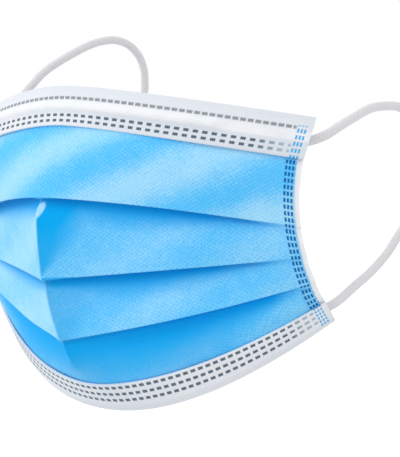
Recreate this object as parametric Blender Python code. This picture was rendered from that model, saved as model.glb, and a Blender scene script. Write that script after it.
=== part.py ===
# A pleated three-ply face mask, opened as it is worn, with two round elastic ear loops.
# Lengths are in metres, +Z is up and the front faces -Y. The origin is where the nose
# bridge bears: on the inside of the top binding, behind the middle of the nose wire.

from collections import namedtuple

import bmesh
import bpy
import numpy as np

# The opened mask
HEIGHT = 0.106  # the height that the lines take shares of, a little less than the whole
DEPTH = 0.0455  # the foremost fold, in front of the upper corners
TOP_HALF_WIDTH = 0.0755  # middle to the upper corners
LOW_HALF_WIDTH = 0.0759  # middle to the lower corners
SIDE_PINCH = 0.0008  # how much narrower the middle of the side edges is
SIDE_HEIGHT = 0.0635  # upper corner to lower corner
SIDE_DROP = 0.0108  # upper corners below the middle of the top edge
SIDE_BOW = 0.0131  # the middle of each side edge, in front of its corners
LOW_CORNER_BACK = 0.0104  # lower corners behind the upper ones
CHIN_TUCK = 0.0085  # the bottom edge behind the upper edge of its band, in the middle
CHIN_BAND = 0.0096  # the bottom edge below the upper edge of its band, in the middle
CHEEK_TUCK = -0.0012  # how much further back the bottom edge runs under each cheek
CHEEK_BAND = 0.0016  # how much further down it is there

# The cloth, from the outside in
PLY = 0.001  # wall of each ply and of each leg of a binding
GAP = 0.0003  # clearance between neighbouring pieces
COVER = PLY + GAP  # how far a piece lies behind the one over it
SIDE_MARGIN = 0.0190  # share of the half width by which the inner ply passes the outer
SEAM_THICK = 0.002  # a binding pressed flat beyond the plies
SEAM_BEHIND = 0.0004  # how far the front of that seam lies behind the band's face
FOLD_ROUND = 0.0003  # rounding of a binding's folded edge
BINDING_THICK = 4 * PLY + 3 * GAP  # a binding's two legs with both plies between them
BAND_ROWS = 3  # rows of faces that the plies have under the top binding

# Bindings: the width of the band, how far inside its edge the plies end, where the
# pressed seam starts, and how far from the edge it is fully flat.
Binding = namedtuple("Binding", "band plies_end press_start press_end")
TOP_BINDING = Binding(0.0130, 0.0042, 0.0033, 0.0018)
BOTTOM_BINDING = Binding(0.0125, 0.0030, 0.0022, 0.0011)

# The nose wire, in a raised channel of the top binding
WIRE_HALF_LENGTH = 0.05
WIRE_WIDE = 0.0026
WIRE_THICK = 0.001
WIRE_DOWN = 0.0069  # its middle below the top edge
CHANNEL_SLOPE = 0.0005  # width of each sloping side of the channel
CHANNEL_SPARE = 0.002  # the channel is full to this far past each end of the wire
CHANNEL_FADE = 0.0045  # and has gone after this further length

# The ear loops
LOOP_DIAMETER = 0.003
LOOP_POINTS = 38

COLUMNS_PER_HALF = 16
WIRE_COLUMNS = 25
ROUTE_STEPS = 12  # points worked out between two points of a loop's route
CORNER_EASE = 0.02  # keeps a wall from shooting outwards where it is bent sharply

# Lines across the mask, from top to bottom.
# forward: share of DEPTH at the middle. down: share of HEIGHT at the middle.
# side: share of the way down the side edge. bow, sag: how the line runs back and down
# to the side, where 0 is straight and 1 is an even curve. ease: how widely the line is
# rounded at the middle, as a share of the half width, where 0 leaves a crease.
Line = namedtuple("Line", "forward down side bow sag ease")
LINES = {
    "top_edge": Line(0.810, 0.000, 0.000, 0.74, 0.21, 0.18),
    "top_hem": Line(0.860, 0.120, 0.205, 0.97, 0.25, 0.16),
    "fold_1": Line(1.000, 0.337, 0.533, 0.40, 0.53, 0.07),
    "fold_2": Line(0.915, 0.584, 0.676, 0.22, 0.16, 0.00),
    "fold_3": Line(0.753, 0.772, 0.801, 0.46, 0.37, 0.00),
    "bottom_hem": Line(0.472, 0.922, 0.906, 0.58, 0.62, 0.15),
}

# The step behind each fold, from its edge back to where the next panel starts: in the
# middle, at its deepest and at the side, and the share of the half width where it is
# deepest.
Step = namedtuple("Step", "middle deepest side deepest_at")
STEPS = {
    "fold_1": Step(0.0016, 0.0052, 0.0005, 0.36),
    "fold_2": Step(0.0015, 0.0046, 0.0003, 0.34),
    "fold_3": Step(0.0016, 0.0056, 0.0005, 0.40),
}
STEP_FALL = 0.0007  # a shallow step falls by this much
STEP_TUCK = 0.0016  # a step at its deepest is turned up by this much more
STEP_LEAN = 0.8  # a step at the side runs towards the middle by this share of its depth

# Panels of cloth between two lines: rows of faces, and how far the cloth swells out.
Panel = namedtuple("Panel", "upper lower rows swell")
PANELS = (
    Panel("top_hem", "fold_1", 4, 0.0012),
    Panel("fold_1", "fold_2", 4, 0.0008),
    Panel("fold_2", "fold_3", 3, 0.0006),
    Panel("fold_3", "bottom_hem", 3, 0.0012),
)

# Routes of the ear loops, as x, y and z in metres, with y from the upper corners and z
# from the top edge. Each starts inside the upper corner and ends inside the lower one.
LEFT_LOOP_ROUTE = (
    (0.0634, -0.0051, -0.0194),
    (0.0682, -0.0007, -0.0190),
    (0.0717, 0.0021, -0.0180),
    (0.0739, 0.0050, -0.0168),
    (0.0750, 0.0080, -0.0154),
    (0.0750, 0.0122, -0.0137),
    (0.0739, 0.0234, -0.0101),
    (0.0725, 0.0356, -0.0067),
    (0.0714, 0.0475, -0.0054),
    (0.0705, 0.0573, -0.0055),
    (0.0697, 0.0666, -0.0084),
    (0.0692, 0.0736, -0.0144),
    (0.0691, 0.0773, -0.0224),
    (0.0694, 0.0766, -0.0312),
    (0.0697, 0.0706, -0.0400),
    (0.0703, 0.0581, -0.0482),
    (0.0706, 0.0494, -0.0547),
    (0.0712, 0.0382, -0.0604),
    (0.0717, 0.0273, -0.0646),
    (0.0718, 0.0199, -0.0678),
    (0.0714, 0.0148, -0.0697),
    (0.0690, 0.0120, -0.0716),
    (0.0640, 0.0103, -0.0748),
)
RIGHT_LOOP_ROUTE = (
    (-0.0634, -0.0051, -0.0194),
    (-0.0685, -0.0003, -0.0192),
    (-0.0713, 0.0026, -0.0170),
    (-0.0710, 0.0047, -0.0098),
    (-0.0670, 0.0080, -0.0030),
    (-0.0620, 0.0118, 0.0045),
    (-0.0580, 0.0149, 0.0099),
    (-0.0545, 0.0190, 0.0139),
    (-0.0510, 0.0257, 0.0183),
    (-0.0488, 0.0312, 0.0212),
    (-0.0470, 0.0372, 0.0230),
    (-0.0460, 0.0427, 0.0234),
    (-0.0450, 0.0487, 0.0218),
    (-0.0445, 0.0537, 0.0179),
    (-0.0445, 0.0565, 0.0128),
    (-0.0452, 0.0578, 0.0077),
    (-0.0460, 0.0584, 0.0044),
    (-0.0495, 0.0586, -0.0060),
    (-0.0550, 0.0550, -0.0205),
    (-0.0604, 0.0479, -0.0346),
    (-0.0657, 0.0381, -0.0478),
    (-0.0696, 0.0287, -0.0583),
    (-0.0714, 0.0209, -0.0655),
    (-0.0717, 0.0152, -0.0695),
    (-0.0690, 0.0120, -0.0716),
    (-0.0640, 0.0103, -0.0748),
)


def side_edge(share):
    """The point of the side edge that is a share of the way down it."""
    middle = 4 * share * (1 - share)
    x = TOP_HALF_WIDTH + (LOW_HALF_WIDTH - TOP_HALF_WIDTH) * share - SIDE_PINCH * middle
    y = LOW_CORNER_BACK * share - SIDE_BOW * middle
    z = -SIDE_DROP - SIDE_HEIGHT * share
    return np.array([x, y, z])


def eased(q, ease):
    """Distance from the middle, 0 to 1, rounded near 0 like the tip of a hyperbola."""
    return (np.sqrt(q**2 + ease**2) - ease) / (np.sqrt(1 + ease**2) - ease)


def line_points(name, q):
    """Points of a line. q runs from -1 at one side edge through 0 to 1 at the other."""
    if name == "bottom_edge":
        far = eased(q, LINES["bottom_hem"].ease)
        corner = side_edge(1) - side_edge(LINES["bottom_hem"].side)
        cheek = 4 * far * (1 - far)
        x = q * corner[0]
        y = CHIN_TUCK + (corner[1] - CHIN_TUCK) * far + CHEEK_TUCK * cheek
        z = -CHIN_BAND + (corner[2] + CHIN_BAND) * far - CHEEK_BAND * cheek
        return line_points("bottom_hem", q) + np.stack([x, y, z], axis=-1)
    line = LINES[name]
    far = eased(q, line.ease)
    side = side_edge(line.side)
    y_middle = -line.forward * DEPTH
    z_middle = -line.down * HEIGHT
    back = (1 - line.bow) * far + line.bow * far**2
    drop = (1 - line.sag) * far + line.sag * far**2
    x = q * side[0]
    y = y_middle + (side[1] - y_middle) * back
    z = z_middle + (side[2] - z_middle) * drop
    return np.stack([x, y, z], axis=-1)


def panel_start(name, q):
    """Where the panel below a line starts: on the line, or behind it if it is a fold."""
    edge = line_points(name, q)
    if name not in STEPS:
        return edge
    step = STEPS[name]
    far = np.abs(q)
    deep = np.sin(np.pi * far ** (np.log(0.5) / np.log(step.deepest_at)))
    plain = step.middle + (step.side - step.middle) * far
    back = plain + (step.deepest - plain) * deep
    up = STEP_TUCK * deep - STEP_FALL
    return edge + np.stack([-STEP_LEAN * q * back, back, up], axis=-1)


def panel_points(upper, lower, share, swell=0.0):
    """Points across a panel, a share of the way from its upper line to its lower one."""
    out = np.array([0.0, -swell * np.sin(np.pi * share), 0.0])
    return upper + (lower - upper) * share + out


def sheet(q):
    """The visible face as rows of points, with how far the outer ply lies behind each."""
    rows = []
    covers = []
    band_upper = line_points("top_edge", q)
    band_lower = line_points("top_hem", q)
    for share in np.linspace(TOP_BINDING.plies_end / TOP_BINDING.band, 1, BAND_ROWS + 1):
        rows.append(panel_points(band_upper, band_lower, share))
        covers.append(COVER)
    for panel in PANELS:
        upper = panel_start(panel.upper, q)
        lower = line_points(panel.lower, q)
        first = 0 if panel.upper in STEPS else 1
        for row in range(first, panel.rows + 1):
            rows.append(panel_points(upper, lower, row / panel.rows, panel.swell))
            covers.append(0.0)
    covers[-1] = COVER
    band_upper = line_points("bottom_hem", q)
    band_lower = line_points("bottom_edge", q)
    reach = 1 - BOTTOM_BINDING.plies_end / BOTTOM_BINDING.band
    for share in (reach / 2, reach):
        rows.append(panel_points(band_upper, band_lower, share))
        covers.append(COVER)
    return np.array(rows), np.array(covers)


def inward_moves(points):
    """For each point of a grid, the move that takes it one metre behind every face around it."""
    down_right = points[1:, 1:] - points[:-1, :-1]
    down_left = points[1:, :-1] - points[:-1, 1:]
    normals = np.cross(down_right, down_left)
    normals /= np.linalg.norm(normals, axis=-1, keepdims=True)
    rows, columns = points.shape[:2]
    total = np.zeros((rows, columns, 3))
    spread = np.zeros((rows, columns, 3, 3))
    products = normals[..., :, None] * normals[..., None, :]
    for row in (0, 1):
        for column in (0, 1):
            cell = (slice(row, row + rows - 1), slice(column, column + columns - 1))
            total[cell] += normals
            spread[cell] += products
    spread += CORNER_EASE * np.eye(3)
    return np.linalg.solve(spread, total[..., None])[..., 0]


def wall_faces(rows, columns):
    """Faces of a closed wall: a front grid, then a back grid, then the rim between them."""
    index = np.arange(2 * rows * columns).reshape(2, rows, columns)
    faces = []
    for row in range(rows - 1):
        for column in range(columns - 1):
            a, b = index[:, row, column], index[:, row, column + 1]
            c, d = index[:, row + 1, column + 1], index[:, row + 1, column]
            faces.append((a[0], d[0], c[0], b[0]))
            faces.append((a[1], b[1], c[1], d[1]))
    rim = [(0, c) for c in range(columns)]
    rim += [(r, columns - 1) for r in range(1, rows)]
    rim += [(rows - 1, c) for c in range(columns - 2, -1, -1)]
    rim += [(r, 0) for r in range(rows - 2, 0, -1)]
    for (r1, c1), (r2, c2) in zip(rim, rim[1:] + rim[:1]):
        faces.append((index[0, r1, c1], index[0, r2, c2], index[1, r2, c2], index[1, r1, c1]))
    return [tuple(int(i) for i in face) for face in faces]


def ring_faces(stations, around):
    """Faces of a closed section carried along stations, with a cap at both ends."""
    faces = []
    for s in range(stations - 1):
        for k in range(around):
            m = (k + 1) % around
            faces.append(
                (
                    s * around + k,
                    s * around + m,
                    (s + 1) * around + m,
                    (s + 1) * around + k,
                )
            )
    faces.append(tuple(range(around - 1, -1, -1)))
    last = (stations - 1) * around
    faces.append(tuple(range(last, last + around)))
    return faces


def band_frames(upper_name, lower_name, q):
    """For each station of a band: its edge point, the move across it, and the inward normal."""
    upper = line_points(upper_name, q)
    lower = line_points(lower_name, q)
    along = np.gradient((upper + lower) / 2, q, axis=0)
    across = lower - upper
    inward = np.cross(along, across)
    inward /= np.linalg.norm(inward, axis=-1, keepdims=True) * np.sign(inward[:, 1:2])
    return upper, across, inward


def smooth_step(value):
    value = np.clip(value, 0, 1)
    return value * value * (3 - 2 * value)


def binding_section(binding, raised):
    """Section of a binding as pairs: distance from its edge, and depth behind its face."""
    front = SEAM_BEHIND
    back = front + SEAM_THICK
    pocket = binding.plies_end - GAP
    section = [(binding.band, PLY), (binding.band, 0.0)]
    if raised is not None:
        half = WIRE_WIDE / 2 + GAP + PLY / 2
        high, low = WIRE_DOWN - half, WIRE_DOWN + half
        up = raised * (WIRE_THICK + GAP)
        section += [(low + CHANNEL_SLOPE, 0.0), (low, -up), (high, -up), (high - CHANNEL_SLOPE, 0.0)]
    section += [
        (binding.press_start, 0.0),
        (binding.press_end, front),
        (FOLD_ROUND, front),
        (0.0, front + FOLD_ROUND),
        (0.0, back - FOLD_ROUND),
        (FOLD_ROUND, back),
        (binding.press_end, back),
        (binding.press_start, BINDING_THICK),
        (binding.band, BINDING_THICK),
        (binding.band, BINDING_THICK - PLY),
        (pocket, BINDING_THICK - PLY),
        (pocket, PLY),
    ]
    if raised is not None:
        half = WIRE_WIDE / 2 + GAP
        high, low = WIRE_DOWN - half, WIRE_DOWN + half
        floor = PLY - raised * (WIRE_THICK + GAP)
        section += [(high - GAP, PLY), (high, floor), (low, floor), (low + GAP, PLY)]
    return section


def material(name, colour, roughness):
    made = bpy.data.materials.new(name)
    made.use_nodes = True
    shader = made.node_tree.nodes["Principled BSDF"]
    shader.inputs["Base Color"].default_value = (*colour, 1.0)
    shader.inputs["Roughness"].default_value = roughness
    shader.inputs["Metallic"].default_value = 0.0
    return made


def add_mesh(name, points, faces, finish):
    """Adds a closed mesh, its faces turned outwards and its many-sided caps split up."""
    mesh = bpy.data.meshes.new(name)
    mesh.from_pydata((points - ORIGIN).tolist(), [], faces)
    work = bmesh.new()
    work.from_mesh(mesh)
    bmesh.ops.recalc_face_normals(work, faces=work.faces)
    caps = [face for face in work.faces if len(face.verts) > 4]
    bmesh.ops.triangulate(work, faces=caps, ngon_method="EAR_CLIP")
    work.to_mesh(mesh)
    work.free()
    mesh.materials.append(finish)
    made = bpy.data.objects.new(name, mesh)
    bpy.context.collection.objects.link(made)
    return made


def even_columns():
    return np.linspace(-1, 1, 2 * COLUMNS_PER_HALF + 1)


def ply_columns():
    """Columns of the plies, with one more at the outer ply's edges."""
    q = even_columns()
    return np.concatenate([q[:1], [-1 + SIDE_MARGIN], q[1:-1], [1 - SIDE_MARGIN], q[-1:]])


def add_ply(name, layer, columns, finish):
    points, covers = sheet(ply_columns())
    moves = inward_moves(points)
    front = points + moves * (covers + layer * COVER)[:, None, None]
    back = points + moves * (covers + layer * COVER + PLY)[:, None, None]
    wall = np.stack([front, back])[:, :, columns]
    rows, across = wall.shape[1:3]
    return add_mesh(name, wall.reshape(-1, 3), wall_faces(rows, across), finish)


def add_binding(name, binding, upper, lower, raised, finish):
    q = even_columns()
    edge, across, inward = band_frames(upper, lower, q)
    points = []
    for i, place in enumerate(q):
        lift = None
        if raised:
            past_wire = abs(place) * TOP_HALF_WIDTH - WIRE_HALF_LENGTH - CHANNEL_SPARE
            lift = 1 - smooth_step(past_wire / CHANNEL_FADE)
        for down, depth in binding_section(binding, lift):
            points.append(edge[i] + across[i] * down / binding.band + inward[i] * depth)
    around = len(points) // len(q)
    return add_mesh(name, np.array(points), ring_faces(len(q), around), finish)


def add_wire(finish):
    reach = WIRE_HALF_LENGTH / TOP_HALF_WIDTH
    q = np.linspace(-reach, reach, WIRE_COLUMNS)
    edge, across, inward = band_frames("top_edge", "top_hem", q)
    bed = COVER - GAP - WIRE_THICK
    section = (
        (WIRE_DOWN + WIRE_WIDE / 2, bed + WIRE_THICK),
        (WIRE_DOWN + WIRE_WIDE / 2, bed),
        (WIRE_DOWN - WIRE_WIDE / 2, bed),
        (WIRE_DOWN - WIRE_WIDE / 2, bed + WIRE_THICK),
    )
    points = []
    for i in range(len(q)):
        for down, depth in section:
            points.append(edge[i] + across[i] * down / TOP_BINDING.band + inward[i] * depth)
    return add_mesh("nose_wire", np.array(points), ring_faces(len(q), len(section)), finish)


def smooth_route(route, count):
    """Points evenly spaced along a smooth curve through a route."""
    route = np.array(route)
    ends = np.concatenate([2 * route[:1] - route[1:2], route, 2 * route[-1:] - route[-2:-1]])
    t = np.linspace(0, 1, ROUTE_STEPS, endpoint=False)[:, None]
    dense = []
    for a, b, c, d in zip(ends, ends[1:], ends[2:], ends[3:]):
        dense.append(
            b
            + t * (c - a) / 2
            + t**2 * (2 * a - 5 * b + 4 * c - d) / 2
            + t**3 * (3 * b - a - 3 * c + d) / 2
        )
    dense = np.concatenate(dense + [route[-1:]])
    length = np.concatenate([[0], np.cumsum(np.linalg.norm(np.diff(dense, axis=0), axis=1))])
    even = np.linspace(0, length[-1], count)
    return np.stack([np.interp(even, length, dense[:, axis]) for axis in range(3)], axis=-1)


def add_loop(name, route, finish):
    curve = bpy.data.curves.new(name, "CURVE")
    curve.dimensions = "3D"
    curve.bevel_depth = LOOP_DIAMETER / 2
    curve.bevel_resolution = 2
    curve.use_fill_caps = True
    spline = curve.splines.new("POLY")
    points = smooth_route(route, LOOP_POINTS) - ORIGIN
    spline.points.add(len(points) - 1)
    for point, place in zip(spline.points, points):
        point.co = (*place, 1.0)
    curve.materials.append(finish)
    made = bpy.data.objects.new(name, curve)
    bpy.context.collection.objects.link(made)
    return made


def nose_bridge():
    """The middle of the band's inside, behind the nose wire."""
    edge, across, inward = band_frames("top_edge", "top_hem", even_columns())
    share = WIRE_DOWN / TOP_BINDING.band
    middle = COLUMNS_PER_HALF
    return edge[middle] + across[middle] * share + inward[middle] * BINDING_THICK


for old in list(bpy.data.objects):
    bpy.data.objects.remove(old)

ORIGIN = nose_bridge()

blue_cloth = material("blue_cloth", (0.16, 0.58, 1.0), 0.85)
white_cloth = material("white_cloth", (0.76, 0.79, 0.83), 0.9)
white_band = material("white_band", (0.76, 0.79, 0.83), 0.85)
white_elastic = material("white_elastic", (0.75, 0.73, 0.76), 0.9)
coated_wire = material("coated_wire", (0.8, 0.8, 0.8), 0.5)

add_ply("outer_ply", 0, slice(1, -1), blue_cloth)
add_ply("inner_ply", 1, slice(None), white_cloth)
add_binding("top_binding", TOP_BINDING, "top_edge", "top_hem", True, white_band)
add_binding("bottom_binding", BOTTOM_BINDING, "bottom_edge", "bottom_hem", False, white_band)
add_wire(coated_wire)
add_loop("ear_loop_left", LEFT_LOOP_ROUTE, white_elastic)
add_loop("ear_loop_right", RIGHT_LOOP_ROUTE, white_elastic)
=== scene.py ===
import bmesh
import bpy
import numpy as np
from mathutils import Matrix, Vector


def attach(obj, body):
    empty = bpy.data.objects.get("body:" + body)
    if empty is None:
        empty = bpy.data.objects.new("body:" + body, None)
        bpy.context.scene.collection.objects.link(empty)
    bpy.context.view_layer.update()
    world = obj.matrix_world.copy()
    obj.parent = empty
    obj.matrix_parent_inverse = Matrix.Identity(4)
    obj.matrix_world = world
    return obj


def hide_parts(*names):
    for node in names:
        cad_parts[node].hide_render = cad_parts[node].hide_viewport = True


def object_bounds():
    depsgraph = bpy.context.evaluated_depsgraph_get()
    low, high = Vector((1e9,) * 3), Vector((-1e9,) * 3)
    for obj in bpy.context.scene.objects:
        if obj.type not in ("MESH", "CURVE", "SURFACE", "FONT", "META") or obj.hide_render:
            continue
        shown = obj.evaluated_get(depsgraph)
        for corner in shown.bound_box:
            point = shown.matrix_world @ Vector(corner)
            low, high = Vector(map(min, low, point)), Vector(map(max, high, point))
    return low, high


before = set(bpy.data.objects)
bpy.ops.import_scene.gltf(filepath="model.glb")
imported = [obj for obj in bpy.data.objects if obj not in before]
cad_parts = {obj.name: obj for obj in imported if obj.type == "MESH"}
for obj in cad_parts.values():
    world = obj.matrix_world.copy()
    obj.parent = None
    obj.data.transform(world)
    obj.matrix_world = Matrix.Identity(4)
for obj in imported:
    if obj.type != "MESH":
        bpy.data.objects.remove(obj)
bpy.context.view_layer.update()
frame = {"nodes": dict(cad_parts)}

print("frame loaded:", ", ".join(frame["nodes"]))


# The mask's shape, in metres, with y from the upper corners and z from the top edge.
mask = {
    "height": 0.106,  # down the middle
    "depth": 0.0455,  # foremost fold in front of the upper corners
    "topHalfWidth": 0.0755,  # to the upper corners
    "lowHalfWidth": 0.0759,  # to the lower corners
    "sidePinch": 0.0008,  # how far the sides draw in halfway down
    "sideHeight": 0.0635,  # from corner to corner
    "sideDrop": 0.0108,  # upper corners below the middle of the top edge
    "sideBow": 0.0131,  # how far the sides bow forwards halfway down
    "lowCornerBack": 0.0104,  # lower corners behind the upper ones
    "chinTuck": 0.0085,  # bottom edge behind its hem at the middle
    "chinBand": 0.0096,  # and below it
    "cheekTuck": -0.0012,  # how that changes halfway to the sides
    "cheekBand": 0.0016,
    "wall": 0.001,
    "gap": 0.0003,  # between one piece and the next
    "columns": 110,  # on each side of the middle
}
cover = mask["wall"] + mask["gap"]
bindingThick = 4 * mask["wall"] + 3 * mask["gap"]

# Lines across it: forward and down at the middle as shares of the depth and height, share
# of the way down the side edge, how the line bows back and sags, and how it is rounded.
lines = {
    "topEdge": (0.810, 0.000, 0.000, 0.74, 0.21, 0.18),
    "topHem": (0.860, 0.120, 0.205, 0.97, 0.25, 0.16),
    "fold1": (1.000, 0.337, 0.533, 0.40, 0.53, 0.07),
    "fold2": (0.915, 0.584, 0.676, 0.22, 0.16, 0.00),
    "fold3": (0.753, 0.772, 0.801, 0.46, 0.37, 0.00),
    "bottomHem": (0.472, 0.922, 0.906, 0.58, 0.62, 0.15),
}
# The step behind each fold: at the middle, deepest, at the side, and where it is deepest.
steps = {
    "fold1": (0.0016, 0.0052, 0.0005, 0.36),
    "fold2": (0.0015, 0.0046, 0.0003, 0.34),
    "fold3": (0.0016, 0.0056, 0.0005, 0.40),
}
# How far the cloth drops behind a fold, is tucked up where deepest, and leans to the middle.
stepShape = {"fall": 0.0007, "tuck": 0.0016, "lean": 0.8}
# Panels: upper line, lower line, rows and how far the cloth swells out.
panels = (
    ("topHem", "fold1", 4, 0.0012),
    ("fold1", "fold2", 4, 0.0008),
    ("fold2", "fold3", 3, 0.0006),
    ("fold3", "bottomHem", 3, 0.0012),
)


# The side edge: straight between the corners in x and z, a parabola in y.
def sideEdge(share):
    middle = 4 * share * (1 - share)
    wide = mask["topHalfWidth"] + (mask["lowHalfWidth"] - mask["topHalfWidth"]) * share
    return np.array([
        wide - mask["sidePinch"] * middle,
        mask["lowCornerBack"] * share - mask["sideBow"] * middle,
        -mask["sideDrop"] - mask["sideHeight"] * share,
    ])


# Distance from the middle, 0 to 1, with its tip rounded as a hyperbola's.
def eased(q, ease):
    return (np.sqrt(q**2 + ease**2) - ease) / (np.sqrt(1 + ease**2) - ease)


# A line at q, from -1 at one side through 0 to 1: between its middle point and its end on
# the side edge, y and z run as a mix of a straight line and a parabola.
def lineAt(name, q):
    if name == "bottomEdge":
        far = eased(q, lines["bottomHem"][5])
        corner = sideEdge(1) - sideEdge(lines["bottomHem"][2])
        cheek = 4 * far * (1 - far)
        tuck, band = mask["chinTuck"], mask["chinBand"]
        y = tuck + (corner[1] - tuck) * far + mask["cheekTuck"] * cheek
        z = -band + (corner[2] + band) * far - mask["cheekBand"] * cheek
        return lineAt("bottomHem", q) + np.stack([q * corner[0], y, z], axis=-1)
    forward, down, side, bow, sag, ease = lines[name]
    far = eased(q, ease)
    end = sideEdge(side)
    y = -forward * mask["depth"]
    z = -down * mask["height"]
    y = y + (end[1] - y) * ((1 - bow) * far + bow * far**2)
    z = z + (end[2] - z) * ((1 - sag) * far + sag * far**2)
    return np.stack([q * end[0], y, z], axis=-1)


# Where the panel under a fold starts: behind the fold by a step that is deepest off centre.
def panelStart(name, q):
    edge = lineAt(name, q)
    if name not in steps:
        return edge
    middle, deepest, side, deepestAt = steps[name]
    far = np.abs(q)
    deep = np.sin(np.pi * far ** (np.log(0.5) / np.log(deepestAt)))
    plain = middle + (side - middle) * far
    back = plain + (deepest - plain) * deep
    up = stepShape["tuck"] * deep - stepShape["fall"]
    return edge + np.stack([-stepShape["lean"] * q * back, back, up], axis=-1)


# Frames along a band: its edge, the move across it, and the unit normal that points inwards.
def bandFrames(upper, lower, q):
    top = lineAt(upper, q)
    across = lineAt(lower, q) - top
    along = np.gradient(top + across / 2, q, axis=0)
    inward = np.cross(along, across)
    inward /= np.linalg.norm(inward, axis=-1, keepdims=True) * np.sign(inward[:, 1:2])
    return top, across, inward


evenColumns = np.linspace(-1, 1, 2 * mask["columns"] + 1)

# The bands, from their edge inwards: their width, where the plies end inside them, where
# the seam is pressed, and where the look of the pressed edge ends.
topBand = {
    "band": 0.0130,
    "pliesEnd": 0.0042,
    "pressStart": 0.0033,
    "pressEnd": 0.0018,
    "hem": 0.0036,
}
bottomBand = {
    "band": 0.0125,
    "pliesEnd": 0.0030,
    "pressStart": 0.0022,
    "pressEnd": 0.0011,
    "hem": 0.0026,
}
# The nose wire: how far down the band, its section, the slope of the channel's walls, and
# where along the half width the channel starts to fade and over how much.
wire = {
    "down": 0.0069,
    "wide": 0.0026,
    "thick": 0.001,
    "slope": 0.0005,
    "end": 0.69,
    "fade": 0.06,
}

edge, across, inward = bandFrames("topEdge", "topHem", evenColumns)
middle = mask["columns"]
noseBridge = (
    edge[middle]
    + across[middle] * wire["down"] / topBand["band"]
    + inward[middle] * bindingThick
)  # the part's origin


# Camera: it stands on a circle round the aim, at the azimuth and height of the photograph.
camera = {
    "azimuth": 39.0,
    "elevation": 2.0,
    "distance": 0.42,
    "aim": (0.0497, -0.025, -0.0449),
    "focalPixels": 1381.0,
    "imageHeight": 457.0,
    "sensor": 36.0,
}
turn, tilt = np.radians(camera["azimuth"]), np.radians(camera["elevation"])
ahead = np.array([-np.sin(turn) * np.cos(tilt), np.cos(turn) * np.cos(tilt), -np.sin(tilt)])
right = np.array([np.cos(turn), np.sin(turn), 0.0])
above = np.cross(right, ahead)
aim = np.array(camera["aim"]) - noseBridge
cameraData = bpy.data.cameras.new("camera")
cameraData.sensor_width = camera["sensor"]
cameraData.lens = camera["focalPixels"] * camera["sensor"] / camera["imageHeight"]
cameraData.clip_start = 0.01
cameraObject = bpy.data.objects.new("camera", cameraData)
bpy.context.collection.objects.link(cameraObject)
place = Matrix([list(row) for row in np.stack([right, above, -ahead], axis=1)]).to_4x4()
place.translation = aim - ahead * camera["distance"]
cameraObject.matrix_world = place
bpy.context.scene.camera = cameraObject
print("camera placed")


# A number socket that can be added, multiplied and compared like a number.
class Value:
    def __init__(self, shader, socket):
        self.shader = shader
        self.socket = socket

    def math(self, operation, *others):
        made = self.shader.node("ShaderNodeMath", {"operation": operation}, self, *others)
        return Value(self.shader, made.outputs[0])

    def __add__(self, other):
        return self.math("ADD", other)

    __radd__ = __add__

    def __mul__(self, other):
        return self.math("MULTIPLY", other)

    __rmul__ = __mul__

    def __sub__(self, other):
        return self.math("SUBTRACT", other)

    def __rsub__(self, other):
        return (self * -1.0) + other

    def __truediv__(self, other):
        return self.math("DIVIDE", other)

    def __abs__(self):
        return self.math("ABSOLUTE")

    def step(self, low, high):  # smoothly from 0 at low to 1 at high
        made = self.shader.node(
            "ShaderNodeMapRange", {"interpolation_type": "SMOOTHSTEP"}, self, low, high, 0.0, 1.0
        )
        return Value(self.shader, made.outputs[0])

    def wave(self):  # sine, 0 to 1
        return self.math("SINE") * 0.5 + 0.5


# Adds nodes to a tree. Their inputs are given in order or by name, as numbers or sockets.
class Nodes:
    def __init__(self, tree):
        self.tree = tree

    def put(self, socket, value):
        if isinstance(value, Value):
            self.tree.links.new(value.socket, socket)
        elif isinstance(value, bpy.types.NodeSocket):
            self.tree.links.new(value, socket)
        elif value is not None:
            socket.default_value = value

    def node(self, kind, settings=None, *values, **named):
        made = self.tree.nodes.new(kind)
        for name, setting in (settings or {}).items():
            setattr(made, name, setting)
        for socket, value in zip([s for s in made.inputs if s.enabled], values):
            self.put(socket, value)
        for name, value in named.items():
            self.put(made.inputs[name], value)
        return made


# A material with one Principled shader, whose constants are given by socket.
class Shader(Nodes):
    def __init__(self, name, **fixed):
        self.material = bpy.data.materials.new(name)
        self.material.use_nodes = True
        super().__init__(self.material.node_tree)
        self.principled = self.tree.nodes["Principled BSDF"]
        for socket, number in fixed.items():
            self.principled.inputs[socket].default_value = number

    def mapVector(self, name):
        return self.node("ShaderNodeUVMap", {"uv_map": name}).outputs[0]

    def uv(self, name):  # the two numbers of a UV map
        split = self.node("ShaderNodeSeparateXYZ", None, self.mapVector(name))
        return Value(self, split.outputs[0]), Value(self, split.outputs[1])

    def place(self):
        return self.node("ShaderNodeTexCoord").outputs["Object"]

    def scaled(self, vector, scale, turn=(0.0, 0.0, 0.0)):
        return self.node(
            "ShaderNodeMapping", None, Vector=vector, Scale=scale, Rotation=turn
        ).outputs[0]

    def noise(self, vector, scale, detail=2.0, roughness=0.5):
        sizes = {"Scale": scale, "Detail": detail, "Roughness": roughness}
        made = self.node("ShaderNodeTexNoise", None, Vector=vector, **sizes)
        return Value(self, made.outputs[0])

    def mix(self, share, low, high):  # a colour between two
        made = self.node("ShaderNodeMix", {"data_type": "RGBA"})
        self.put(made.inputs["Factor"], share)
        self.put(made.inputs[6], low)
        self.put(made.inputs[7], high)
        return made.outputs[2]

    def finish(self, colour, height=None, distance=None):
        self.put(self.principled.inputs["Base Color"], colour)
        if height is not None:
            bump = self.node("ShaderNodeBump", Height=height, Distance=distance, Strength=1.0)
            self.put(self.principled.inputs["Normal"], bump.outputs[0])
        return self.material


def rgb(red, green, blue):
    return (red, green, blue, 1.0)


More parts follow.
